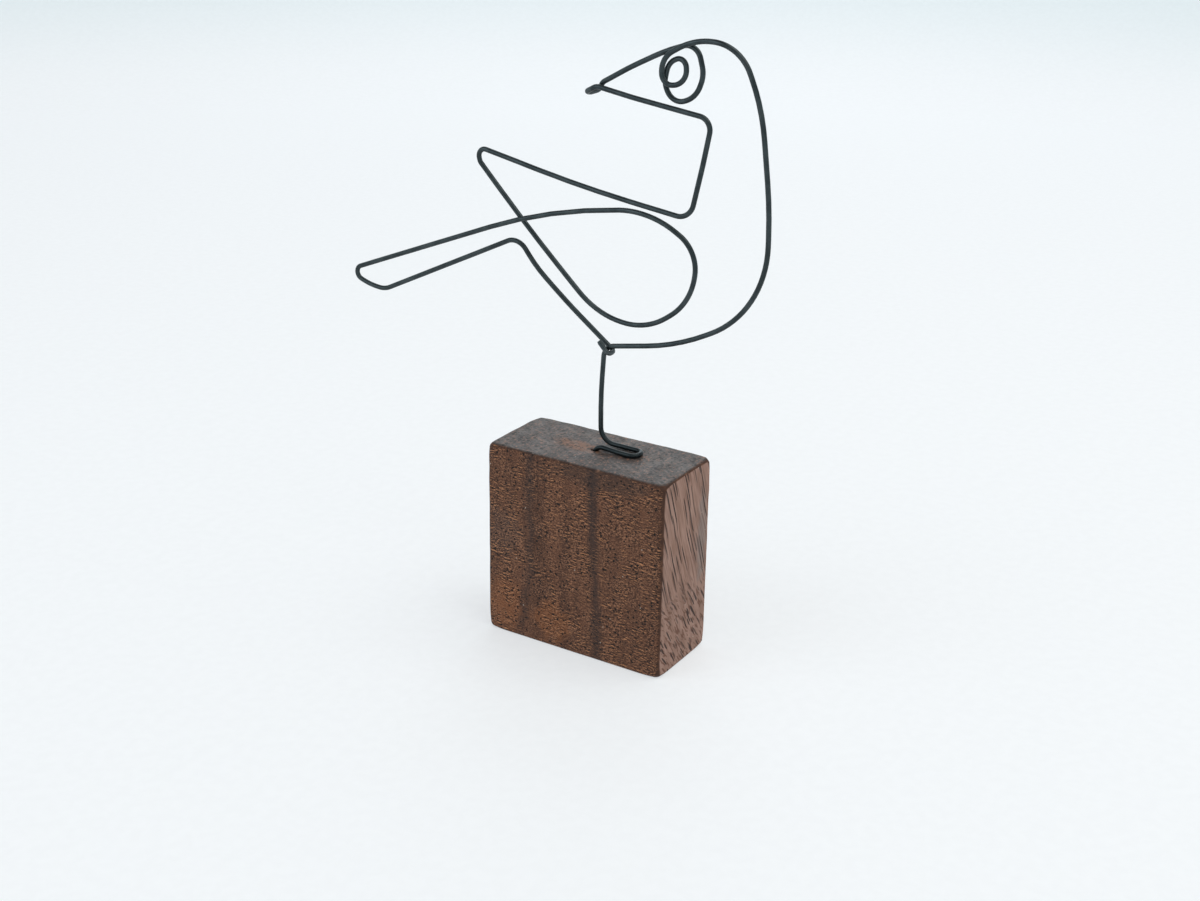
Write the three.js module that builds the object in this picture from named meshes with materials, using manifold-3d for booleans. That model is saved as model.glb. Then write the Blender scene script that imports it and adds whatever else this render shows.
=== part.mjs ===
// A bird drawn in the air with one length of black annealed steel wire, standing on a small walnut block.
// Millimetres, +Z up. The origin is the middle of the block's underside, +X is the side of the breast,
// and -Y is the front of the block.
import * as THREE from 'three';
import { mergeVertices } from 'three/addons/utils/BufferGeometryUtils.js';
import Module from 'manifold-3d';

// Block, sawn from a 19 mm board
const BLOCK_WIDTH = 41.7;
const BLOCK_DEPTH = 19;
const BLOCK_HEIGHT = 42.2;
const CORNER_RADIUS = 1.1;
const EASED_EDGE = 0.8;
const CORNER_STEPS = 4;
const EDGE_STEPS = 3;

// Wire, 18 gauge
const WIRE_DIAMETER = 1.02;
const WIRE_SIDES = 10;
const COARSEST_TURN = 0.28;
const CHORD_ERROR = 0.03;

// Drilled hole that the wire is set into
const GAP = 0.3;
const HOLE_GAP = 0.4;
const HOLE_RADIUS = WIRE_DIAMETER / 2 + HOLE_GAP;
const HOLE_X = -0.75;
const HOLE_Y = -0.65;
const WIRE_SET_DEPTH = 9.2;
const HOLE_SIDES = 20;
const DRILL_CLEARANCE = 1;

// The bird lies in one upright plane, and its crossings step to the front and the back of that plane
const PLANE = 2.4;
const FRONT = PLANE - 0.6;
const BACK = PLANE + 0.6;
const FOOT_Z = BLOCK_HEIGHT + WIRE_DIAMETER / 2 + GAP;

// Bends of the wire in the order that they were made. Each is where two runs would meet: x, y, z and bend radius.
const FOOT = [
  [HOLE_X, HOLE_Y, BLOCK_HEIGHT - WIRE_SET_DEPTH, 0],
  [HOLE_X, HOLE_Y, FOOT_Z + 0.5, 2],
  [4.5, -0.4, FOOT_Z, 8],
  [9, -0.6, FOOT_Z, 1.6],
  [9, PLANE + 0.35, FOOT_Z, 1.6],
  [-1.12, PLANE + 0.3, FOOT_Z + 0.1, 3.2],
];
const LEG = [
  [-1.31, PLANE + 0.1, 52, 110],
  [-0.52, PLANE, 63.4, 2.8],
];
const BREAST = [
  [16, PLANE, 66.6, 47],
  [34.5, PLANE, 76.4, 20.7],
  [34.15, PLANE, 95.8, 86],
  [31.65, PLANE, 113.8, 38],
];
const HEAD_TOP = [
  [26.7, PLANE, 124.5, 8.5],
  [17.6, FRONT + 0.25, 124.85, 13],
];
const INNER_EYE = [
  [10.8, FRONT, 120.95, 4.2],
  [11.35, FRONT, 116, 2],
  [16.3, PLANE - 0.3, 116.65, 2.6],
  [15.55, PLANE + 0.3, 121.65, 1.7],
  [11.85, BACK - 0.05, 120.2, 3.1],
];
const OUTER_EYE = [
  [11.05, BACK - 0.05, 116.4, 3.4],
  [12.9, BACK - 0.1, 112.6, 3],
  [17.8, BACK - 0.1, 114.25, 4.7],
  [19.3, BACK - 0.05, 118.5, 4.9],
  [17.55, BACK + 0.15, 124.25, 2.9],
];
const BEAK = [
  [11.05, BACK + 0.1, 122.1, 38],
  [3.5, BACK, 118.35, 60],
  [-2.25, BACK, 115.12, 1.6],
  [-3.15, BACK, 113.6, 0.9],
  [-5.2, BACK - 0.05, 112.88, 0.53],
  [-5.05, FRONT, 113.3, 0.53],
  [-2.9, FRONT, 114.45, 1.8],
];
const THROAT = [
  [5, PLANE - 0.3, 113.08, 60],
  [21.7, PLANE, 110.83, 2.5],
  [20, PLANE, 102, 40],
];
const BACK_LINE = [
  [17.75, PLANE, 91.65, 3.2],
  [-5.8, PLANE, 94.65, 330],
  [-31.45, PLANE + 0.2, 99.6, 1.55],
  [-30.8, PLANE + 0.35, 96.5, 1.3],
];
const WING = [
  [-19.4, BACK + 0.1, 84.55, 200],
  [-2.6, PLANE + 0.2, 69.7, 18],
  [8.85, PLANE, 68.5, 14.2],
  [18.7, PLANE, 75.6, 12.3],
  [19.75, PLANE, 86, 7.3],
  [9, PLANE, 92.2, 20],
];
const TAIL = [
  [-13.3, FRONT, 89.5, 120],
  [-66.25, PLANE, 68.45, 1.5],
  [-60.4, PLANE, 66.2, 15],
  [-56.2, PLANE, 65.75, 5.6],
  [-21.35, PLANE, 82.55, 3.6],
];
const RUMP = [
  [-16.85, PLANE, 76.95, 28],
  [-9.2, PLANE + 0.4, 70.4, 140],
];
const KNOT = [
  [1.35, PLANE + 1.2, 62.3, 0.95],
  [1.35, PLANE - 1.1, 62.15, 0.95],
  [-1.2, PLANE - 1.1, 64.2, 0.7],
  [-0.95, PLANE - 0.05, 64.35, 0],
];
const BENDS = [
  ...FOOT, ...LEG, ...BREAST, ...HEAD_TOP, ...INNER_EYE, ...OUTER_EYE, ...BEAK,
  ...THROAT, ...BACK_LINE, ...WING, ...TAIL, ...RUMP, ...KNOT,
];

const STEEL = new THREE.MeshStandardMaterial({ color: 0x33393b, roughness: 0.5, metalness: 0.85 });
const WALNUT = new THREE.MeshStandardMaterial({ color: 0x4a3129, roughness: 0.62, metalness: 0, flatShading: true });

// Centreline of a bent wire: straight runs joined by arcs that touch both runs.
// It is stepped at its stations, close together round a bend and only at the ends of a straight run.
class BentWire extends THREE.Curve {
  constructor(bends) {
    super();
    this.stations = [];
    const corners = bends.map(([x, y, z]) => new THREE.Vector3(x, y, z));
    corners.forEach((corner, i) => {
      if (i === 0) {
        this.addStation(corner, direction(corner, corners[1]));
      } else if (i === corners.length - 1) {
        this.addStation(corner, direction(corners[i - 1], corner));
      } else {
        this.addBend(corners[i - 1], corner, corners[i + 1], bends[i][3]);
      }
    });
  }

  addStation(point, tangent) {
    this.stations.push({ point: point.clone(), tangent: tangent.clone() });
  }

  addBend(before, corner, after, radius) {
    const into = direction(before, corner);
    const out = direction(corner, after);
    const turn = into.angleTo(out);
    const setback = radius * Math.tan(turn / 2);
    const start = corner.clone().addScaledVector(into, -setback);
    const inward = out.clone().addScaledVector(into, -out.dot(into)).normalize();
    const finestNeeded = 2 * Math.acos(1 - CHORD_ERROR / radius);
    const steps = Math.ceil(turn / Math.min(COARSEST_TURN, finestNeeded));
    for (let step = 0; step <= steps; step++) {
      const angle = turn * step / steps;
      const point = start.clone()
        .addScaledVector(into, radius * Math.sin(angle))
        .addScaledVector(inward, radius * (1 - Math.cos(angle)));
      const tangent = into.clone().multiplyScalar(Math.cos(angle)).addScaledVector(inward, Math.sin(angle));
      this.addStation(point, tangent);
    }
  }

  stationAt(t) {
    return this.stations[Math.round(t * (this.stations.length - 1))];
  }

  getPoint(t, target = new THREE.Vector3()) {
    return target.copy(this.stationAt(t).point);
  }

  getTangent(t, target = new THREE.Vector3()) {
    return target.copy(this.stationAt(t).tangent);
  }

  getUtoTmapping(u) {
    return u;
  }
}

function direction(from, to) {
  return to.clone().sub(from).normalize();
}

function polygon(radius, sides) {
  const shape = new THREE.Shape();
  for (let side = 0; side < sides; side++) {
    const angle = 2 * Math.PI * side / sides;
    const x = radius * Math.cos(angle);
    const y = radius * Math.sin(angle);
    if (side === 0) {
      shape.moveTo(x, y);
    } else {
      shape.lineTo(x, y);
    }
  }
  shape.closePath();
  return shape;
}

function wireGeometry() {
  const path = new BentWire(BENDS);
  return new THREE.ExtrudeGeometry(polygon(WIRE_DIAMETER / 2, WIRE_SIDES), {
    steps: path.stations.length - 1,
    extrudePath: path,
  });
}

// Block outline seen from above, with rounded upright corners
function blockOutline() {
  const halfWidth = BLOCK_WIDTH / 2;
  const halfDepth = BLOCK_DEPTH / 2;
  const r = CORNER_RADIUS;
  const shape = new THREE.Shape();
  shape.moveTo(-halfWidth + r, -halfDepth);
  shape.lineTo(halfWidth - r, -halfDepth);
  shape.absarc(halfWidth - r, -halfDepth + r, r, -Math.PI / 2, 0);
  shape.lineTo(halfWidth, halfDepth - r);
  shape.absarc(halfWidth - r, halfDepth - r, r, 0, Math.PI / 2);
  shape.lineTo(-halfWidth + r, halfDepth);
  shape.absarc(-halfWidth + r, halfDepth - r, r, Math.PI / 2, Math.PI);
  shape.lineTo(-halfWidth, -halfDepth + r);
  shape.absarc(-halfWidth + r, -halfDepth + r, r, Math.PI, 1.5 * Math.PI);
  return shape;
}

function blockGeometry() {
  const block = new THREE.ExtrudeGeometry(blockOutline(), {
    depth: BLOCK_HEIGHT - 2 * EASED_EDGE,
    curveSegments: CORNER_STEPS,
    bevelThickness: EASED_EDGE,
    bevelSize: EASED_EDGE,
    bevelOffset: -EASED_EDGE,
    bevelSegments: EDGE_STEPS,
  });
  block.translate(0, 0, EASED_EDGE);
  return block;
}

// Blind hole for the end of the wire, with its drill running on a little above the block
function drillGeometry() {
  const depth = WIRE_SET_DEPTH + GAP;
  const drill = new THREE.ExtrudeGeometry(polygon(HOLE_RADIUS, HOLE_SIDES), {
    depth: depth + DRILL_CLEARANCE,
    bevelEnabled: false,
  });
  drill.translate(HOLE_X, HOLE_Y, BLOCK_HEIGHT - depth);
  return drill;
}

const wasm = await Module();
wasm.setup();

function solid(geometry) {
  const bare = geometry.clone();
  bare.deleteAttribute('normal');
  bare.deleteAttribute('uv');
  const merged = mergeVertices(bare, 1e-4);
  return new wasm.Manifold(new wasm.Mesh({
    numProp: 3,
    vertProperties: merged.attributes.position.array,
    triVerts: Uint32Array.from(merged.index.array),
  }));
}

function geometryOf(body) {
  const mesh = body.getMesh();
  const geometry = new THREE.BufferGeometry();
  geometry.setAttribute('position', new THREE.BufferAttribute(Float32Array.from(mesh.vertProperties), 3));
  geometry.setIndex(new THREE.BufferAttribute(Uint32Array.from(mesh.triVerts), 1));
  geometry.computeVertexNormals();
  return geometry;
}

function named(name, geometry, material) {
  const mesh = new THREE.Mesh(geometry, material);
  mesh.name = name;
  return mesh;
}

const sculpture = new THREE.Group();
sculpture.add(named('walnut_block', geometryOf(solid(blockGeometry()).subtract(solid(drillGeometry()))), WALNUT));
sculpture.add(named('wire_bird', wireGeometry(), STEEL));

export default sculpture;
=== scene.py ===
import math

import bmesh
import bpy
import numpy as np
from mathutils import Matrix, Vector, noise


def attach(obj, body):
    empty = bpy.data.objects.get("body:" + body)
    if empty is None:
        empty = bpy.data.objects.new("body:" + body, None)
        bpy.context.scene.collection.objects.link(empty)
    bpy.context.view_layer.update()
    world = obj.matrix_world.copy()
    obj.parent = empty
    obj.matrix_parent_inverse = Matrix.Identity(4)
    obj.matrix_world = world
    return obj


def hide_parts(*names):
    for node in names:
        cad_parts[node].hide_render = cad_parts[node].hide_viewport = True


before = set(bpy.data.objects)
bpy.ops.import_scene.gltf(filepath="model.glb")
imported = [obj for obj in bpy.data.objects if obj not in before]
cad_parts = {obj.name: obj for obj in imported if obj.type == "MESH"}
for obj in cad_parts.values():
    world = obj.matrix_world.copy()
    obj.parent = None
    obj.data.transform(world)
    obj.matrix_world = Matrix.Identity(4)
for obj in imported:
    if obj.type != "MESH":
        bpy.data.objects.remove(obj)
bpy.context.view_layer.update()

# A bird drawn with one length of black annealed wire, on a small block of oiled walnut.
# Sizes are in millimetres and turned to metres by MM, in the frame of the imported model: +Z up, the block's
# front face towards -Y, the bird's breast towards +X.
MM = 0.001

# Block. Its edges are eased by the radii TOP_EASE and FOOT_EASE, a little unevenly, and by CORNER_RUB more at
# a corner. CORNER_RADIUS is for the one upright edge that was rounded most, at the front right.
BLOCK_WIDTH = 41.7
BLOCK_DEPTH = 19.0
BLOCK_HEIGHT = 42.2
CORNER_RADIUS = 1.1
TOP_EASE = 0.8
FOOT_EASE = 0.5
CORNER_RUB = 0.6
CORNER_RUB_REACH = 2.2
EDGE_UNEVENNESS = 0.3
EDGE_UNEVENNESS_LENGTH = 3.5
FACE_DIP = 0.05
FACE_DIP_LENGTH = 7.0
# Its mesh is a grid, fine for GRID_RIM from each edge and coarse between
GRID_RIM = 2.4
GRID_FINE = 0.16
GRID_COARSE = 0.8

# Drilled hole, a little off the wire that stands in it
HOLE_RADIUS = 0.78
HOLE_X = -0.75
HOLE_Y = -0.65
HOLE_DRIFT = 0.25
HOLE_DEPTH = 9.5
HOLE_SIDES = 40
DRILL_CLEARANCE = 2.0

# Wire. Its line wavers by up to half of WAVER each way, over about WAVER_LENGTH.
WIRE_DIAMETER = 1.02
WIRE_SET_DEPTH = 9.2
WIRE_STEP = 0.3
WIRE_SIDES = 28
FINEST_TURN = math.radians(4)
WAVER = 0.05
WAVER_LENGTH = 9.0
CUT_END_LENGTH = 0.35
CUT_END_PINCH = 0.72

# The bird lies in one upright plane, and its crossings step to the front and the back of that plane
PLANE = 2.4
FRONT = PLANE - 0.6
BACK = PLANE + 0.6
CONTACT_GAP = 0.02
FOOT_Z = BLOCK_HEIGHT + WIRE_DIAMETER / 2 + CONTACT_GAP

# Bends in the order that they were made: x, y, z of the point where two runs would meet, and the bend radius
FOOT = [
    (HOLE_X, HOLE_Y, BLOCK_HEIGHT - WIRE_SET_DEPTH, 0),
    (HOLE_X, HOLE_Y, FOOT_Z + 0.5, 2),
    (4.5, -0.4, FOOT_Z, 8),
    (9, -0.6, FOOT_Z, 1.6),
    (9, PLANE + 0.35, FOOT_Z, 1.6),
    (-1.12, PLANE + 0.3, FOOT_Z + 0.1, 3.2),
]
LEG = [
    (-1.31, PLANE + 0.1, 52, 110),
    (-0.52, PLANE, 63.4, 2.8),
]
BREAST = [
    (16, PLANE, 66.6, 47),
    (34.5, PLANE, 76.4, 20.7),
    (34.15, PLANE, 95.8, 86),
    (31.65, PLANE, 113.8, 38),
]
HEAD = [
    (26.7, PLANE, 124.5, 8.5),
    (17.6, FRONT + 0.25, 124.85, 13),
]
INNER_EYE = [
    (10.8, FRONT, 120.95, 4.2),
    (11.35, FRONT, 116, 2),
    (16.3, PLANE - 0.3, 116.65, 2.6),
    (15.55, PLANE + 0.3, 121.65, 1.7),
    (11.85, BACK - 0.05, 120.2, 3.1),
]
OUTER_EYE = [
    (11.05, BACK - 0.05, 116.4, 3.4),
    (12.9, BACK - 0.1, 112.6, 3),
    (17.8, BACK - 0.1, 114.25, 4.7),
    (19.3, BACK - 0.05, 118.5, 4.9),
    (17.55, BACK + 0.15, 124.25, 2.9),
]
BEAK = [
    (11.05, BACK + 0.1, 122.1, 38),
    (3.5, BACK, 118.35, 60),
    (-2.25, BACK, 115.12, 1.6),
    (-3.15, BACK, 113.6, 0.9),
    (-5.2, BACK - 0.05, 112.88, 0.53),
    (-5.05, FRONT, 113.3, 0.53),
    (-2.9, FRONT, 114.45, 1.8),
]
THROAT = [
    (5, PLANE - 0.3, 113.08, 60),
    (21.7, PLANE, 110.83, 2.5),
    (20, PLANE, 102, 40),
]
BACK_LINE = [
    (17.75, PLANE, 91.65, 3.2),
    (-5.8, PLANE, 94.65, 330),
    (-31.45, PLANE + 0.2, 99.6, 1.55),
    (-30.8, PLANE + 0.35, 96.5, 1.3),
]
WING = [
    (-19.4, BACK + 0.1, 84.55, 200),
    (-2.6, PLANE + 0.2, 69.7, 18),
    (8.85, PLANE, 68.5, 14.2),
    (18.7, PLANE, 75.6, 12.3),
    (19.75, PLANE, 86, 7.3),
    (9, PLANE, 92.2, 20),
]
TAIL = [
    (-13.3, FRONT, 89.5, 120),
    (-66.25, PLANE, 68.45, 1.5),
    (-60.4, PLANE, 66.2, 15),
    (-56.2, PLANE, 65.75, 5.6),
    (-21.35, PLANE, 82.55, 3.6),
]
RUMP = [
    (-16.85, PLANE, 76.95, 28),
    (-9.2, PLANE + 0.4, 70.4, 140),
]
KNOT = [
    (1.05, PLANE + 1.15, 62.36, 0.8),
    (1.05, PLANE - 1.07, 62.27, 0.8),
    (-1.22, PLANE - 1.05, 64.62, 0),
]
BENDS = (FOOT + LEG + BREAST + HEAD + INNER_EYE + OUTER_EYE + BEAK + THROAT + BACK_LINE + WING + TAIL + RUMP
         + KNOT)

# Floor of paper in metres: flat out to FLOOR_RADIUS, then curving up to a low wall
FLOOR_RADIUS = 0.62
FLOOR_CURVE = 0.3
FLOOR_WALL = 0.25
FLOOR_CURVE_STEPS = 16
FLOOR_SIDES = 96

# Soft lights: name, place and width in metres, power in watts, colour. They look at LIGHTS_AIM.
SOFTBOXES = [
    ("overhead_softbox", (0.3, 0.05, 0.75), 0.7, 3.3, "#fffaf4"),
    ("back_softbox", (-0.35, 0.7, 0.5), 0.6, 1.5, "#f4f9ff"),
    ("front_softbox", (-0.45, -0.6, 0.5), 0.6, 1.9, "#f4f9ff"),
]
LIGHTS_AIM = (0, 0, 0.06)

# Camera, fitted to the block's edges in the photograph: place, angles in degrees, lens, and reach in metres
CAMERA_PLACE = (164.14, -264.12, 167.29)
CAMERA_PITCH = 21.953
CAMERA_YAW = 31.81
CAMERA_ROLL = 0.96
LENS = 49.70
SENSOR = 36.0
NEAREST = 0.01
FURTHEST = 20


def linear(hex_colour):
    """An sRGB hex colour as the opaque linear colour that a socket takes."""
    channels = [int(hex_colour[i:i + 2], 16) / 255 for i in (1, 3, 5)]
    return tuple(c / 12.92 if c <= 0.04045 else ((c + 0.055) / 1.055) ** 2.4 for c in channels) + (1.0,)


def add(tree, kind, inputs=None, out=0, **settings):
    """Adds a node with its settings, sets or links its inputs, and gives back one of its outputs."""
    made = tree.nodes.new(kind)
    for name, value in settings.items():
        setattr(made, name, value)
    for key, value in (inputs or {}).items():
        named = [socket for socket in made.inputs if socket.name == key and socket.enabled]
        socket = made.inputs[key] if isinstance(key, int) else named[0]
        if isinstance(value, bpy.types.NodeSocket):
            tree.links.new(value, socket)
        else:
            socket.default_value = value
    usable = [socket for socket in made.outputs if socket.enabled]
    if not usable:
        return made
    return usable[out] if isinstance(out, int) else next(s for s in usable if s.name == out)


def new_material(name):
    """An empty material, its tree, and its object coordinates in millimetres."""
    material = bpy.data.materials.new(name)
    material.use_nodes = True
    tree = material.node_tree
    tree.nodes.clear()
    place = add(tree, "ShaderNodeTexCoord", out="Object")
    place = add(tree, "ShaderNodeVectorMath", {0: place, "Scale": 1 / MM}, operation="SCALE")
    return material, tree, place


def stained(tree, colour, stains):
    """A colour with stains laid over it in turn. Each follows a pattern, from the value where it starts to
    the value where it is full, at a strength, and shows only where its mask lets it."""
    for pattern, starts, full, strength, mask, stain in stains:
        share = add(tree, "ShaderNodeMapRange", {
            "Value": pattern, "From Min": starts, "From Max": full, "To Max": strength},
            interpolation_type="SMOOTHSTEP")
        share = add(tree, "ShaderNodeMath", {0: share, 1: mask}, operation="MULTIPLY")
        colour = add(tree, "ShaderNodeMix", {"Factor": share, "A": colour, "B": linear(stain)},
                     data_type="RGBA")
    return colour


def lumps(tree, coordinates, sizes, detail, rough, out="Fac"):
    """Noise whose lumps are about `sizes` millimetres long in x, y and z."""
    scaled = add(tree, "ShaderNodeVectorMath", {0: coordinates, 1: tuple(1 / size for size in sizes)},
                 operation="MULTIPLY")
    return add(tree, "ShaderNodeTexNoise", {"Vector": scaled, "Scale": 1.0, "Detail": detail,
                                            "Roughness": rough}, out=out)


def pits(tree, coordinates, spacing, radius, shift, cells_in="3D", soft=0.45):
    """Pits seen on a surface, about one in each cell of `spacing` millimetres and shaped like the cell.
    `radius` is a share of the spacing, and `soft` the share of the radius over which a pit fades out."""
    scaled = add(tree, "ShaderNodeVectorMath", {
        0: coordinates, 1: tuple(1 / size for size in spacing), 2: (shift, shift, shift)},
        operation="MULTIPLY_ADD")
    cells = add(tree, "ShaderNodeTexVoronoi", {"Vector": scaled, "Scale": 1.0}, out="Distance",
                voronoi_dimensions=cells_in)
    return add(tree, "ShaderNodeMapRange", {
        "Value": cells, "From Min": radius, "From Max": (1 - soft) * radius}, interpolation_type="SMOOTHSTEP")


def annealed_steel():
    """Black annealed steel wire, drawn and softened in the fire: a thin blue-grey oxide skin with a satin
    shine, fine marks along its length, and a few paler rubbed spots where pliers gripped a tight bend."""
    material, tree, place = new_material("black_annealed_steel")
    along, around, tightness = (add(tree, "ShaderNodeAttribute", out="Fac", attribute_name=name)
                                for name in ("along", "around", "tightness"))
    skin = add(tree, "ShaderNodeCombineXYZ", {"X": around, "Y": along})
    # Drawing marks 0.12 mm apart round the wire and about 6 mm long
    marks = lumps(tree, skin, (0.12, 6, 1), 3.0, 0.6)
    patches = lumps(tree, place, (3, 3, 3), 4.0, 0.62)
    specks = lumps(tree, place, (0.18, 0.18, 0.18), 2.0, 0.7)
    rubbed = add(tree, "ShaderNodeMath", {0: tightness, 1: specks}, operation="MULTIPLY")
    # The last row is painted shade: it darkens the foot, the first 24 mm of the wire, and fades out 40 mm
    # along it, up the leg
    colour = stained(tree, linear("#262e30"), [
        (patches, 0.35, 0.68, 1.0, 1.0, "#3b4446"),
        (patches, 0.58, 0.8, 0.6, 1.0, "#35302b"),
        (marks, 0.35, 0.75, 0.4, 1.0, "#50585b"),
        (rubbed, 0.38, 0.66, 0.22, 1.0, "#767d7e"),
        (along, 40.0, 24.0, 0.55, 1.0, "#13191b"),
    ])
    height = add(tree, "ShaderNodeMath", {0: marks, 1: specks}, operation="ADD")
    bump = add(tree, "ShaderNodeBump", {"Strength": 0.4, "Distance": 0.015 * MM, "Height": height})
    satin = add(tree, "ShaderNodeMapRange", {
        "Value": patches, "From Min": 0.3, "From Max": 0.7, "To Min": 0.27, "To Max": 0.42})
    shader = add(tree, "ShaderNodeBsdfPrincipled", {
        "Base Color": colour, "Metallic": 0.8, "Roughness": satin, "Normal": bump})
    add(tree, "ShaderNodeOutputMaterial", {"Surface": shader})
    return material


# Walnut, as the block shows it. Fibres on its narrow sides lean forwards by so many degrees, more near the
# foot.
UPPER_LEAN = 20.0
LOWER_LEAN = 36.0
# Step in height over which a ripple's rise and fall are read for its painted highlight and shade, and the
# turn of the sanding marks on top
RIPPLE_STEP = 0.2
SANDING_TURN = math.radians(28)
# Dark streaks: x at the block's top and at its foot, the height where the line starts to turn, half the
# width, and how dark it is
STREAKS = [
    (-10.6, -12.9, 15.0, 1.0, 0.5),
    (4.3, 6.3, 42.0, 1.05, 0.66),
]
# Oval zones, each with a tint of its own, except that the grey zone on the narrow side is painted sheen and
# the dark band is partly painted shade: centre and half size
WARM_CORNER = ((-16.5, -9.5, 6.5), (5.5, 4.0, 8.5))
WARM_FOOT = ((-5.0, -9.5, 6.0), (6.0, 6.0, 5.5))
GREY_LEFT = ((-16.5, -9.5, 23.0), (6.0, 6.0, 7.0))
# A bluish-grey painted sheen near the back edge of the right side
PAINTED_SHEEN_SIDE = ((20.85, 6.6, 26.0), (3.0, 2.3, 14.0))
RUST_PATCH = ((-4.5, -0.5, 42.2), (7.5, 3.2, 3.0))
# Darker just under the front's top edge: partly the end grain that shows there, partly painted shade
DARK_BAND = ((6.0, -9.5, 40.5), (15.0, 4.0, 3.6))
DARK_TOP = ((8.0, -6.5, 42.2), (15.0, 5.0, 3.0))
ZONES = (WARM_CORNER, WARM_FOOT, GREY_LEFT, PAINTED_SHEEN_SIDE, RUST_PATCH, DARK_BAND, DARK_TOP)


def oval_zone(tree, place, ragged, centre, half_size):
    """1 in the middle of a soft, ragged oval zone, 0 outside it."""
    offset = add(tree, "ShaderNodeVectorMath", {0: place, 1: centre}, operation="SUBTRACT")
    offset = add(tree, "ShaderNodeVectorMath", {0: offset, 1: half_size}, operation="DIVIDE")
    offset = add(tree, "ShaderNodeVectorMath", {0: offset, 1: ragged}, operation="ADD")
    reach = add(tree, "ShaderNodeVectorMath", {0: offset}, out="Value", operation="LENGTH")
    return add(tree, "ShaderNodeMapRange", {"Value": reach, "From Min": 1.15, "From Max": 0.3},
               interpolation_type="SMOOTHSTEP")


def leaning(tree, waved, degrees):
    """Flat coordinates across and along fibres that lean by `degrees`, and turn a little with x."""
    lean = math.radians(degrees)
    across, along = (
        add(tree, "ShaderNodeVectorMath", {0: waved, 1: way}, out="Value", operation="DOT_PRODUCT")
        for way in ((0.2, math.cos(lean), math.sin(lean)), (0.5, -math.sin(lean), math.cos(lean))))
    return add(tree, "ShaderNodeCombineXYZ", {"X": across, "Y": along})


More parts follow.
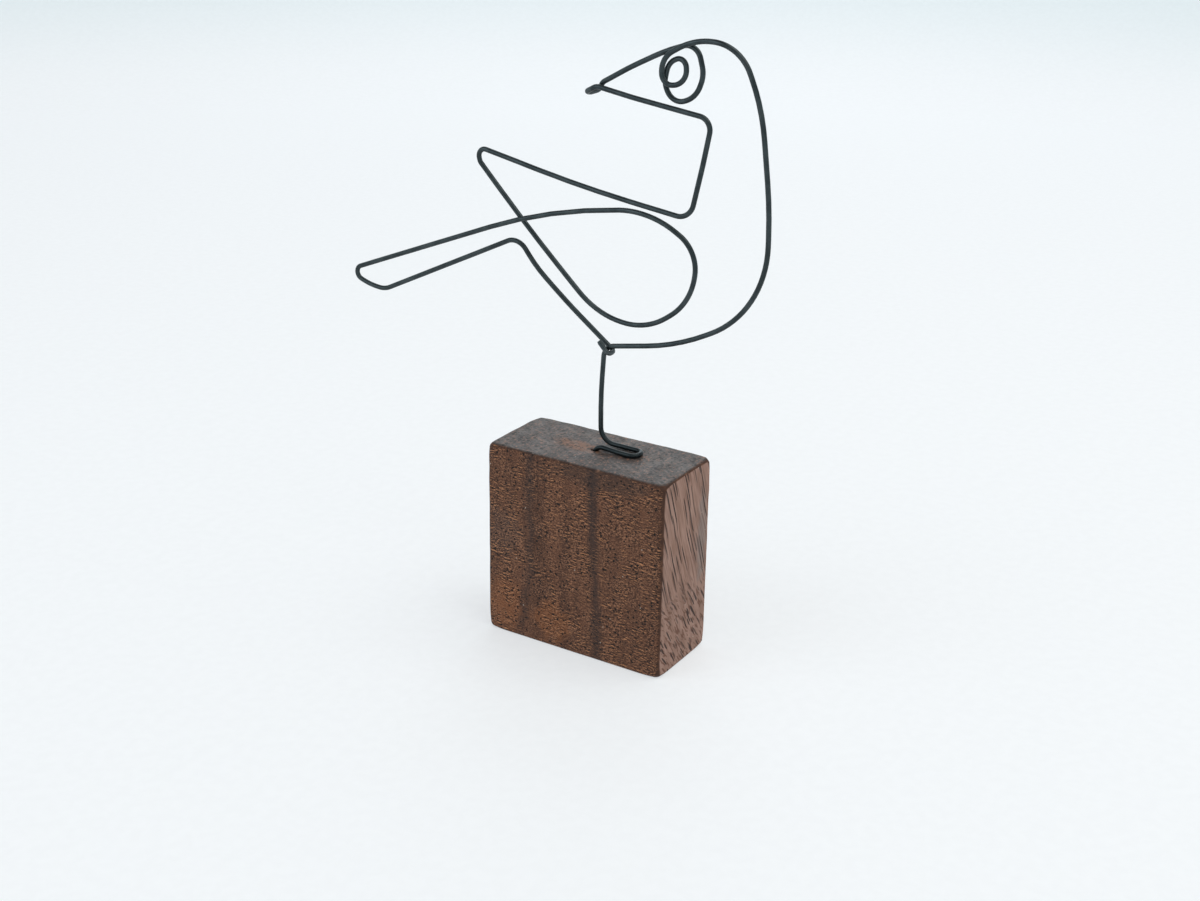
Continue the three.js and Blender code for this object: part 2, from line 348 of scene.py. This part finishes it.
def oiled_walnut():
    """Oiled walnut, sanded and left open-grained: dark brown with purplish growth streaks, dark pores that
    are lines on the narrow sides and pricks on the broad faces, torn ripples there with painted highlights
    and painted shade, and end grain on top, greyer partly in its own tone and partly as painted sheen."""
    material, tree, place = new_material("oiled_walnut")

    # Where each kind of face is, by the way that a point faces
    facing = add(tree, "ShaderNodeVectorMath", {0: add(tree, "ShaderNodeNewGeometry", out="Normal")},
                 operation="ABSOLUTE")
    face_x, face_y, face_z = (add(tree, "ShaderNodeSeparateXYZ", {0: facing}, out=axis) for axis in "XYZ")
    widest = add(tree, "ShaderNodeMath", {0: face_x, 1: face_y}, operation="MAXIMUM")
    widest = add(tree, "ShaderNodeMath", {0: widest, 1: face_z}, operation="MAXIMUM")
    narrow, not_narrow, broad, end_grain, eased = (
        add(tree, "ShaderNodeMapRange", {"Value": share, "From Min": starts, "From Max": full},
            interpolation_type="SMOOTHSTEP")
        for share, starts, full in (
            (face_x, 0.86, 0.985), (face_x, 0.985, 0.86), (face_y, 0.6, 0.9), (face_z, 0.62, 0.93),
            (widest, 0.985, 0.86)))

    # Zones have torn outlines, and everything waves a little with the figure
    ragged = add(tree, "ShaderNodeVectorMath", {
        0: lumps(tree, place, (2.5, 2.5, 2.5), 3.0, 0.55, "Color"),
        1: (1.1, 1.1, 1.1), 2: (-0.55, -0.55, -0.55)}, operation="MULTIPLY_ADD")
    sway = lumps(tree, place, (8, 12, 10), 1.0, 0.5, "Color")
    waved = add(tree, "ShaderNodeVectorMath", {0: sway, 1: (1.8, 0.6, 2.4), 2: place},
                operation="MULTIPLY_ADD")
    upper_fibres, lower_fibres = (leaning(tree, waved, lean) for lean in (UPPER_LEAN, LOWER_LEAN))
    at_x, at_z = (add(tree, "ShaderNodeSeparateXYZ", {0: place}, out=axis) for axis in "XZ")
    torn_line = add(tree, "ShaderNodeMath", {
        0: add(tree, "ShaderNodeSeparateXYZ", {0: ragged}, out="X"), 1: 12.0, 2: at_z},
        operation="MULTIPLY_ADD")
    upper, lower = (
        add(tree, "ShaderNodeMapRange", {"Value": torn_line, "From Min": starts, "From Max": full},
            interpolation_type="SMOOTHSTEP")
        for starts, full in ((12.0, 20.0), (20.0, 12.0)))
    warm_corner, warm_foot, grey_left, painted_sheen_side, rust_patch, dark_band, dark_top = (
        oval_zone(tree, place, ragged, *oval) for oval in ZONES)

    # Patches where the grain is torn, where its nap stands up, and where pores crowd, each never quite gone
    torn_patches, napped_patches, crowding = (
        add(tree, "ShaderNodeMapRange", {
            "Value": lumps(tree, place, sizes, detail, rough), "From Min": starts, "From Max": full,
            "To Min": least, "To Max": 1.0}, interpolation_type="SMOOTHSTEP")
        for sizes, detail, rough, starts, full, least in (
            ((3.5, 6, 4.5), 2.0, 0.5, 0.4, 0.62, 0.12),
            ((3, 5, 3.5), 3.0, 0.6, 0.4, 0.62, 0.4),
            ((4, 4, 7), 2.0, 0.5, 0.36, 0.54, 0.65)))

    # Broad faces: growth bands, ripples torn by the saw and sanded over, fine nap, pricked pores. A ripple
    # has a painted highlight where it rises and painted shade where it falls, following the change over
    # RIPPLE_STEP.
    bands = lumps(tree, waved, (2.6, 6, 40), 4.0, 0.55)
    torn = add(tree, "ShaderNodeMath", {0: broad, 1: torn_patches}, operation="MULTIPLY")
    above = add(tree, "ShaderNodeVectorMath", {0: waved, 1: (0, 0, RIPPLE_STEP)}, operation="ADD")
    ripples, ripples_above = (lumps(tree, level, (1.0, 0.8, 0.34), 2.5, 0.62) for level in (waved, above))
    rise = add(tree, "ShaderNodeMath", {0: ripples, 1: ripples_above}, operation="SUBTRACT")
    nap = lumps(tree, waved, (0.4, 0.4, 0.25), 2.0, 0.6)
    napped = add(tree, "ShaderNodeMath", {0: broad, 1: napped_patches}, operation="MULTIPLY")
    pricks = pits(tree, waved, (1.2, 1.2, 1.0), 0.26, 0.0)
    pricked = add(tree, "ShaderNodeMath", {0: pricks, 1: broad}, operation="MULTIPLY")
    colour = stained(tree, linear("#44291c"), [
        (bands, 0.3, 0.7, 1.0, 1.0, "#654230"),
        (warm_corner, 0.0, 1.0, 0.6, 1.0, "#84502f"),
        (warm_foot, 0.0, 1.0, 0.55, 1.0, "#85502c"),
        (grey_left, 0.0, 1.0, 0.55, 1.0, "#493a34"),
        (nap, 0.5, 0.61, 0.75, napped, "#9a6d52"),
        (nap, 0.5, 0.38, 0.8, napped, "#1f130d"),
        # The next two rows are painted light: a highlight where a ripple rises, shade where it falls
        (rise, 0.08, 0.18, 0.95, torn, "#b47d57"),
        (rise, -0.06, -0.15, 0.95, torn, "#120b08"),
        # This row is partly painted shade under the front's top edge
        (dark_band, 0.0, 1.0, 0.55, 1.0, "#3a2c26"),
        (pricked, 0.0, 1.0, 0.95, 1.0, "#0f0907"),
    ])

    # Growth streaks over the ripples
    for top_x, foot_x, turn_z, half_width, depth in STREAKS:
        centre = add(tree, "ShaderNodeMapRange", {
            "Value": at_z, "From Max": turn_z, "To Min": foot_x, "To Max": top_x})
        wander = add(tree, "ShaderNodeMath", {
            0: lumps(tree, place, (3, 9, 4.5), 2.0, 0.5), 1: 3.0, 2: -1.5}, operation="MULTIPLY_ADD")
        offset = add(tree, "ShaderNodeMath", {0: at_x, 1: centre}, operation="SUBTRACT")
        offset = add(tree, "ShaderNodeMath", {0: offset, 1: wander}, operation="ADD")
        offset = add(tree, "ShaderNodeMath", {0: offset}, operation="ABSOLUTE")
        colour = stained(tree, colour, [(offset, 1.9 * half_width, 0.0, depth, not_narrow, "#2b2221")])

    # Narrow sides: paler and pinker, partly in their own tone and partly as painted light, with slanting
    # painted sheen, a greyer strip of painted sheen, and pores as long dark lines.
    # Real pores are 0.1 to 0.3 mm wide, and these are 0.35 to 0.45 mm, so that they show.
    painted_shimmer = lumps(tree, upper_fibres, (1.6, 7, 1), 2.5, 0.55)
    hair = lumps(tree, upper_fibres, (0.5, 12, 1), 2.0, 0.6)
    low_hair = lumps(tree, lower_fibres, (0.55, 3, 1), 2.0, 0.6)
    pores = []
    for fibres, part, cell, radius, shift, depth in (
            (upper_fibres, upper, (1.5, 46, 1), 0.125, 0.0, 1.0),
            (upper_fibres, upper, (1.4, 34, 1), 0.125, 7.3, 1.0),
            (upper_fibres, upper, (1.5, 24, 1), 0.14, 4.6, 0.9),
            (lower_fibres, lower, (1.4, 12, 1), 0.16, 3.1, 0.9),
            (lower_fibres, lower, (1.3, 7, 1), 0.165, 5.7, 0.85)):
        pore = pits(tree, fibres, cell, radius, shift, "2D", 0.15)
        crowded = add(tree, "ShaderNodeMath", {0: part, 1: crowding}, operation="MULTIPLY")
        pores.append((pore, part, crowded, depth))
    side_colour = stained(tree, linear("#866657"), [
        (painted_shimmer, 0.32, 0.68, 0.75, 1.0, "#a18072"),
        (painted_sheen_side, 0.0, 1.0, 0.6, 1.0, "#77706c"),
        (hair, 0.5, 0.38, 0.5, upper, "#5c3827"),
        (low_hair, 0.5, 0.38, 0.85, lower, "#5c3827"),
        (hair, 0.55, 0.7, 0.3, upper, "#b3917f"),
    ] + [(pore, 0.0, 1.0, depth, crowded, "#24110a") for pore, part, crowded, depth in pores])
    colour = add(tree, "ShaderNodeMix", {"Factor": narrow, "A": colour, "B": side_colour}, data_type="RGBA")

    # End grain: grey-brown clouds, their grey partly painted sheen, with rust-brown flecks, faint sanding
    # marks, and vessels cut across, which are drawn up to about 1 mm wide so that they show
    flecks = lumps(tree, place, (0.5, 0.8, 0.5), 2.0, 0.6)
    vessels = pits(tree, place, (1.3, 1.6, 1.3), 0.3, 2.2, soft=0.3)
    sanding = add(tree, "ShaderNodeVectorRotate", {"Vector": place, "Angle": SANDING_TURN},
                  rotation_type="Z_AXIS")
    scratches = lumps(tree, sanding, (5, 0.55, 5), 2.0, 0.6)
    clouds = lumps(tree, place, (5, 3, 5), 3.0, 0.5)
    top_colour = stained(tree, linear("#453e3b"), [
        (clouds, 0.3, 0.7, 1.0, 1.0, "#564f4b"),
        (rust_patch, 0.0, 0.9, 0.8, 1.0, "#7f5232"),
        (dark_top, 0.0, 1.0, 0.5, 1.0, "#332c29"),
        (flecks, 0.55, 0.67, 0.8, 1.0, "#8c6450"),
        (flecks, 0.46, 0.36, 0.9, 1.0, "#281f1c"),
        (scratches, 0.53, 0.66, 0.22, 1.0, "#83766e"),
        (scratches, 0.47, 0.34, 0.3, 1.0, "#2a2320"),
        (vessels, 0.0, 1.0, 0.8, 1.0, "#1c1512"),
    ])
    colour = add(tree, "ShaderNodeMix", {"Factor": end_grain, "A": colour, "B": top_colour},
                 data_type="RGBA")

    # Eased edges: darker, and rubbed paler here and there. Over it all lie specks of dust, 0.3 mm across.
    edge_wear = lumps(tree, place, (1.6, 1.6, 1.6), 3.0, 0.6)
    dust = pits(tree, place, (3.1, 2.9, 3.3), 0.05, 0.4)
    colour = stained(tree, colour, [
        (edge_wear, 0.68, 0.42, 0.6, eased, "#301e17"),
        (edge_wear, 0.6, 0.72, 0.4, eased, "#8a654d"),
        (dust, 0.0, 1.0, 0.7, 1.0, "#b8b0a6"),
    ])

    # Relief: ripples, nap and flecks stand up, pricks and pores go in
    height = add(tree, "ShaderNodeMath", {0: ripples, 1: torn}, operation="MULTIPLY")
    reliefs = [(nap, broad, 0.5), (flecks, end_grain, 0.4), (pricks, broad, -0.8)]
    for pore, part, crowded, depth in pores:
        on_part = add(tree, "ShaderNodeMath", {0: pore, 1: part}, operation="MULTIPLY")
        reliefs.append((on_part, narrow, -0.6))
    for pattern, mask, change in reliefs:
        masked = add(tree, "ShaderNodeMath", {0: pattern, 1: mask}, operation="MULTIPLY")
        height = add(tree, "ShaderNodeMath", {0: masked, 1: change, 2: height}, operation="MULTIPLY_ADD")
    bump = add(tree, "ShaderNodeBump", {"Strength": 0.9, "Distance": 0.25 * MM, "Height": height})
    # Paler bands are rougher, and the oiled top shines a little more than the sides
    roughness = add(tree, "ShaderNodeMapRange", {
        "Value": bands, "From Min": 0.3, "From Max": 0.7, "To Min": 0.5, "To Max": 0.62},
        interpolation_type="SMOOTHSTEP")
    shine = add(tree, "ShaderNodeMapRange", {
        "Value": face_z, "From Min": 0.6, "From Max": 0.95, "To Min": 0.2, "To Max": 0.5},
        interpolation_type="SMOOTHSTEP")
    shader = add(tree, "ShaderNodeBsdfPrincipled", {
        "Base Color": colour, "Roughness": roughness, "Specular IOR Level": shine, "Normal": bump})
    add(tree, "ShaderNodeOutputMaterial", {"Surface": shader})
    return material


def studio_paper():
    """Matt white background paper, lit a little from below as on a light table: bright, with only a faint
    shadow, and dimmer and cooler where it curves up behind."""
    material, tree, place = new_material("white_studio_paper")
    fibres = lumps(tree, place, (2.5, 2.5, 2.5), 3.0, 0.5)
    colour = stained(tree, linear("#abafb1"), [(fibres, 0.3, 0.7, 1.0, 1.0, "#aeb2b4")])
    height = add(tree, "ShaderNodeSeparateXYZ", {0: place}, out="Z")
    glow = stained(tree, linear("#f2f3f5"), [(height, 0.0, 60.0, 1.0, 1.0, "#d6e2e5")])
    shader = add(tree, "ShaderNodeBsdfPrincipled", {
        "Base Color": colour, "Roughness": 0.9, "Specular IOR Level": 0.2,
        "Emission Color": glow, "Emission Strength": 0.57})
    add(tree, "ShaderNodeOutputMaterial", {"Surface": shader})
    return material


def bent_line(bends):
    """Points in millimetres along straight runs joined by arcs, and the tightness, 1 / radius, at each."""
    corners = [Vector(bend[:3]) for bend in bends]
    radii = [bend[3] for bend in bends]
    points = [corners[0]]
    tightness = [0.0]
    for before, corner, after, radius in zip(corners, corners[1:], corners[2:], radii[1:]):
        into = (corner - before).normalized()
        out = (after - corner).normalized()
        turn = into.angle(out)
        start = corner - into * radius * math.tan(turn / 2)
        inward = (out - into * out.dot(into)).normalized()
        steps = max(3, math.ceil(turn / FINEST_TURN))
        for step in range(steps + 1):
            angle = turn * step / steps
            points.append(start + into * radius * math.sin(angle) + inward * radius * (1 - math.cos(angle)))
            tightness.append(1 / radius)
    points.append(corners[-1])
    tightness.append(0.0)
    return points, tightness


def set_input(modifier, name, value):
    """Sets a modifier's input by the identifier of the socket with this name."""
    socket = next(item for item in modifier.node_group.interface.items_tree
                  if item.item_type == "SOCKET" and item.in_out == "INPUT" and item.name == name)
    modifier[socket.identifier] = value


def new_geometry_tree(name, sizes):
    """A Geometry Nodes tree with a geometry input and output, and one named input for each size."""
    tree = bpy.data.node_groups.new(name, "GeometryNodeTree")
    tree.interface.new_socket("Geometry", in_out="INPUT", socket_type="NodeSocketGeometry")
    for size, kind in sizes.items():
        tree.interface.new_socket(size, in_out="INPUT", socket_type=kind)
    tree.interface.new_socket("Geometry", in_out="OUTPUT", socket_type="NodeSocketGeometry")
    entry = tree.nodes.new("NodeGroupInput")
    return tree, {socket.name: socket for socket in entry.outputs}


def bake(base, tree, values, name):
    """Runs a Geometry Nodes tree on an object, and gives back its result as a plain mesh object."""
    modifier = base.modifiers.new(tree.name, "NODES")
    modifier.node_group = tree
    for key, value in values.items():
        set_input(modifier, key, value)
    evaluated = base.evaluated_get(bpy.context.evaluated_depsgraph_get())
    mesh = bpy.data.meshes.new_from_object(evaluated)
    base.modifiers.clear()
    bpy.data.objects.remove(base)
    mesh.name = name
    return place_object(name, mesh)


def wire_tree(material):
    """Sweeps a round section along the line of the bends, with a hand's small unevenness."""
    tree, given = new_geometry_tree("sweep_wire", {
        "Wire diameter": "NodeSocketFloat", "Step": "NodeSocketFloat", "Sides": "NodeSocketInt",
        "Waver": "NodeSocketFloat"})
    curve = add(tree, "GeometryNodeMeshToCurve", {"Mesh": given["Geometry"]})
    curve = add(tree, "GeometryNodeResampleCurve", {"Curve": curve, "Length": given["Step"]}, mode="LENGTH")
    place = add(tree, "GeometryNodeInputPosition")
    waver = add(tree, "ShaderNodeTexNoise", {
        "Vector": place, "Scale": 1 / (WAVER_LENGTH * MM), "Detail": 1.0}, out="Color")
    waver = add(tree, "ShaderNodeVectorMath", {0: waver, 1: (0.5, 0.5, 0.5)}, operation="SUBTRACT")
    waver = add(tree, "ShaderNodeVectorMath", {0: waver, "Scale": given["Waver"]}, operation="SCALE")
    curve = add(tree, "GeometryNodeSetPosition", {"Geometry": curve, "Offset": waver})
    # Millimetres along the wire, and round it, for its material
    along = add(tree, "ShaderNodeMath", {
        0: add(tree, "GeometryNodeSplineParameter", out="Length"), 1: 1 / MM}, operation="MULTIPLY")
    curve = add(tree, "GeometryNodeStoreNamedAttribute", {"Geometry": curve, "Name": "along", "Value": along},
                data_type="FLOAT", domain="POINT")
    radius = add(tree, "ShaderNodeMath", {0: given["Wire diameter"], 1: 0.5}, operation="MULTIPLY")
    section = add(tree, "GeometryNodeCurvePrimitiveCircle", {"Resolution": given["Sides"], "Radius": radius})
    around = add(tree, "ShaderNodeMath", {
        0: add(tree, "GeometryNodeSplineParameter", out="Factor"), 1: math.pi * WIRE_DIAMETER},
        operation="MULTIPLY")
    section = add(tree, "GeometryNodeStoreNamedAttribute", {
        "Geometry": section, "Name": "around", "Value": around}, data_type="FLOAT", domain="POINT")
    # The cut ends are pinched a little by the cutters
    length = add(tree, "GeometryNodeCurveLength", {"Curve": curve})
    so_far = add(tree, "GeometryNodeSplineParameter", out="Length")
    left = add(tree, "ShaderNodeMath", {0: length, 1: so_far}, operation="SUBTRACT")
    nearest = add(tree, "ShaderNodeMath", {0: so_far, 1: left}, operation="MINIMUM")
    pinch = add(tree, "ShaderNodeMapRange", {
        "Value": nearest, "From Min": 0.0, "From Max": CUT_END_LENGTH * MM,
        "To Min": CUT_END_PINCH, "To Max": 1.0}, interpolation_type="SMOOTHSTEP")
    mesh = add(tree, "GeometryNodeCurveToMesh", {
        "Curve": curve, "Profile Curve": section, "Scale": pinch, "Fill Caps": True})
    mesh = add(tree, "GeometryNodeSetShadeSmooth", {"Geometry": mesh, "Shade Smooth": True})
    mesh = add(tree, "GeometryNodeRealizeInstances", {"Geometry": mesh})
    mesh = add(tree, "GeometryNodeSetMaterial", {"Geometry": mesh, "Material": material})
    add(tree, "NodeGroupOutput", {"Geometry": mesh})
    return tree


def make_wire(material):
    """The line of the bends as edges, swept into the wire."""
    points, tightness = bent_line(BENDS)
    mesh = bpy.data.meshes.new("wire_line")
    edges = [(i, i + 1) for i in range(len(points) - 1)]
    mesh.from_pydata([point * MM for point in points], edges, [])
    values = mesh.attributes.new("tightness", "FLOAT", "POINT")
    values.data.foreach_set("value", tightness)
    wire = bake(place_object("wire_line", mesh), wire_tree(material), {
        "Wire diameter": WIRE_DIAMETER * MM, "Step": WIRE_STEP * MM, "Sides": WIRE_SIDES,
        "Waver": WAVER * MM}, "bent_wire")
    shape = bmesh.new()
    shape.from_mesh(wire.data)
    bmesh.ops.remove_doubles(shape, verts=shape.verts, dist=1e-7)
    bmesh.ops.recalc_face_normals(shape, faces=shape.faces)
    shape.to_mesh(wire.data)
    shape.free()
    return wire


def place_object(name, mesh):
    """Makes a mesh an object of the scene."""
    made = bpy.data.objects.new(name, mesh)
    bpy.context.scene.collection.objects.link(made)
    return made


def mesh_of(name, shape):
    """Turns a bmesh into a mesh, and frees it."""
    mesh = bpy.data.meshes.new(name)
    shape.to_mesh(mesh)
    shape.free()
    return mesh


def finish(mesh, material):
    """Gives a mesh its one material and smooth shading."""
    mesh.materials.clear()
    mesh.materials.append(material)
    mesh.polygons.foreach_set("use_smooth", [True] * len(mesh.polygons))


def grid_lines(length):
    """Places along one side of the block, from 0 to its length, closer together near both ends."""
    start = np.linspace(0, GRID_RIM, round(GRID_RIM / GRID_FINE) + 1)[:-1]
    between = length - 2 * GRID_RIM
    middle = np.linspace(GRID_RIM, length - GRID_RIM, math.ceil(between / GRID_COARSE) + 1)
    return np.concatenate([start, middle, length - start[::-1]])


def make_block(material):
    """The block with its sanded edges and corners, then its drilled hole."""
    size = Vector((BLOCK_WIDTH, BLOCK_DEPTH, BLOCK_HEIGHT))
    lines = [grid_lines(side) for side in size]
    shape = bmesh.new()
    found = {}

    def vertex(place):
        key = tuple(round(value, 4) for value in place)
        if key not in found:
            found[key] = shape.verts.new(sanded(Vector(place)) * MM)
        return found[key]

    for flat in range(3):
        u, v = [axis for axis in range(3) if axis != flat]
        for level in (0.0, size[flat]):
            grid = []
            for a in lines[u]:
                row = []
                for b in lines[v]:
                    place = [0.0, 0.0, 0.0]
                    place[flat], place[u], place[v] = level, a, b
                    row.append(vertex(place))
                grid.append(row)
            for i in range(len(grid) - 1):
                for j in range(len(grid[0]) - 1):
                    shape.faces.new((grid[i][j], grid[i + 1][j], grid[i + 1][j + 1], grid[i][j + 1]))
    bmesh.ops.recalc_face_normals(shape, faces=shape.faces)
    block = place_object("block", mesh_of("block", shape))
    drill = place_object("drill", mesh_of("drill", drill_shape()))
    cut = block.modifiers.new("hole", "BOOLEAN")
    cut.operation = "DIFFERENCE"
    cut.solver = "EXACT"
    cut.object = drill
    evaluated = block.evaluated_get(bpy.context.evaluated_depsgraph_get())
    mesh = bpy.data.meshes.new_from_object(evaluated)
    bpy.data.objects.remove(block)
    bpy.data.objects.remove(drill)
    mesh.name = "plinth"
    finish(mesh, material)
    return place_object("plinth", mesh)


def sanded(place):
    """Moves a point of the plain box, whose corner is at 0, onto the block as sanded by hand: edges eased a
    little unevenly, corners rubbed rounder, faces a touch uneven. The block is centred over the origin."""
    half = Vector((BLOCK_WIDTH, BLOCK_DEPTH, BLOCK_HEIGHT)) / 2
    place = place - half
    to_corner = sum((limit - abs(value)) ** 2 for value, limit in zip(place, half))
    rubbed = CORNER_RUB * math.exp(-to_corner / CORNER_RUB_REACH ** 2)
    uneven = EDGE_UNEVENNESS * noise.noise(place / EDGE_UNEVENNESS_LENGTH)
    share_up = 0.5 + place.z / BLOCK_HEIGHT
    ease = FOOT_EASE + (TOP_EASE - FOOT_EASE) * share_up + rubbed + uneven * share_up
    turn = CORNER_RADIUS - TOP_EASE if place.x > 0 > place.y else 0
    limits = half - Vector((ease, ease, ease))
    core = Vector([max(-limit, min(limit, value)) for value, limit in zip(place, limits)])
    # The upright edge at the front right turns about an axis that lies `turn` further in
    axis = Vector([max(turn - limit, min(limit - turn, value)) for value, limit in zip(place.xy, limits.xy)])
    away = place.xy - axis
    if away.length > turn:
        away = away.normalized() * turn if turn else Vector((0, 0))
    core.x, core.y = axis + away
    outward = (place - core).normalized()
    dip = FACE_DIP * (0.5 + 0.5 * noise.noise(place / FACE_DIP_LENGTH))
    return core + outward * (ease - dip) + Vector((0, 0, half.z))


def drill_shape():
    """The drill in its hole, running on a little above the block."""
    shape = bmesh.new()
    length = HOLE_DEPTH + DRILL_CLEARANCE
    middle = Vector((HOLE_X + HOLE_DRIFT, HOLE_Y, BLOCK_HEIGHT + DRILL_CLEARANCE - length / 2))
    bmesh.ops.create_cone(
        shape, cap_ends=True, segments=HOLE_SIDES, radius1=HOLE_RADIUS * MM, radius2=HOLE_RADIUS * MM,
        depth=length * MM, matrix=Matrix.Translation(middle * MM))
    return shape


def make_floor(material):
    """A round sweep of paper: flat under the object, curving up to a low wall all round."""
    profile = [(0.0, 0.0), (FLOOR_RADIUS, 0.0)]
    for step in range(1, FLOOR_CURVE_STEPS + 1):
        angle = math.pi / 2 * step / FLOOR_CURVE_STEPS
        profile.append((FLOOR_RADIUS + FLOOR_CURVE * math.sin(angle), FLOOR_CURVE * (1 - math.cos(angle))))
    profile.append((FLOOR_RADIUS + FLOOR_CURVE, FLOOR_CURVE + FLOOR_WALL))
    shape = bmesh.new()
    line = [shape.verts.new((radius, 0, height)) for radius, height in profile]
    edges = [shape.edges.new(pair) for pair in zip(line, line[1:])]
    bmesh.ops.spin(shape, geom=line + edges, cent=(0, 0, 0), axis=(0, 0, 1), angle=2 * math.pi,
                   steps=FLOOR_SIDES)
    bmesh.ops.remove_doubles(shape, verts=shape.verts, dist=1e-5)
    bmesh.ops.recalc_face_normals(shape, faces=shape.faces)
    mesh = mesh_of("paper_sweep", shape)
    finish(mesh, material)
    return place_object("paper_sweep", mesh)


def softbox(name, place, width, power, colour):
    """A square light that looks at the object's middle."""
    light = bpy.data.lights.new(name, "AREA")
    light.shape = "SQUARE"
    light.size = width
    light.energy = power
    light.color = linear(colour)[:3]
    lamp = bpy.data.objects.new(name, light)
    lamp.location = place
    aim = Vector(LIGHTS_AIM) - Vector(place)
    lamp.rotation_euler = aim.to_track_quat("-Z", "Y").to_euler()
    bpy.context.scene.collection.objects.link(lamp)


def light_studio():
    """An even pale surround, the soft lights, and plain colours without a film look."""
    world = bpy.data.worlds.new("studio")
    bpy.context.scene.world = world
    world.use_nodes = True
    tree = world.node_tree
    tree.nodes.clear()
    sky = add(tree, "ShaderNodeBackground", {"Color": linear("#f4f9fc"), "Strength": 0.3})
    add(tree, "ShaderNodeOutputWorld", {"Surface": sky})
    for settings in SOFTBOXES:
        softbox(*settings)
    view = bpy.context.scene.view_settings
    view.view_transform = "Standard"
    view.look = "None"


def place_camera():
    """The photograph's view: down by the pitch, from the breast's side by the yaw, tilted by the roll."""
    pitch, yaw, roll = (math.radians(angle) for angle in (CAMERA_PITCH, CAMERA_YAW, CAMERA_ROLL))
    level = Matrix.Rotation(yaw, 4, "Z") @ Matrix.Rotation(math.pi / 2 - pitch, 4, "X")
    data = bpy.data.cameras.new("camera")
    data.sensor_fit = "HORIZONTAL"
    data.sensor_width = SENSOR
    data.lens = LENS
    data.clip_start = NEAREST
    data.clip_end = FURTHEST
    camera = bpy.data.objects.new("camera", data)
    place = Matrix.Translation(Vector(CAMERA_PLACE) * MM)
    camera.matrix_world = place @ level @ Matrix.Rotation(roll, 4, "Z")
    bpy.context.scene.collection.objects.link(camera)
    bpy.context.scene.camera = camera


place_camera()
light_studio()

floor = make_floor(studio_paper())

wire = make_wire(annealed_steel())
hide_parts("wire_bird")
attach(wire, "root")

plinth = make_block(oiled_walnut())
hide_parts("walnut_block")
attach(plinth, "root")
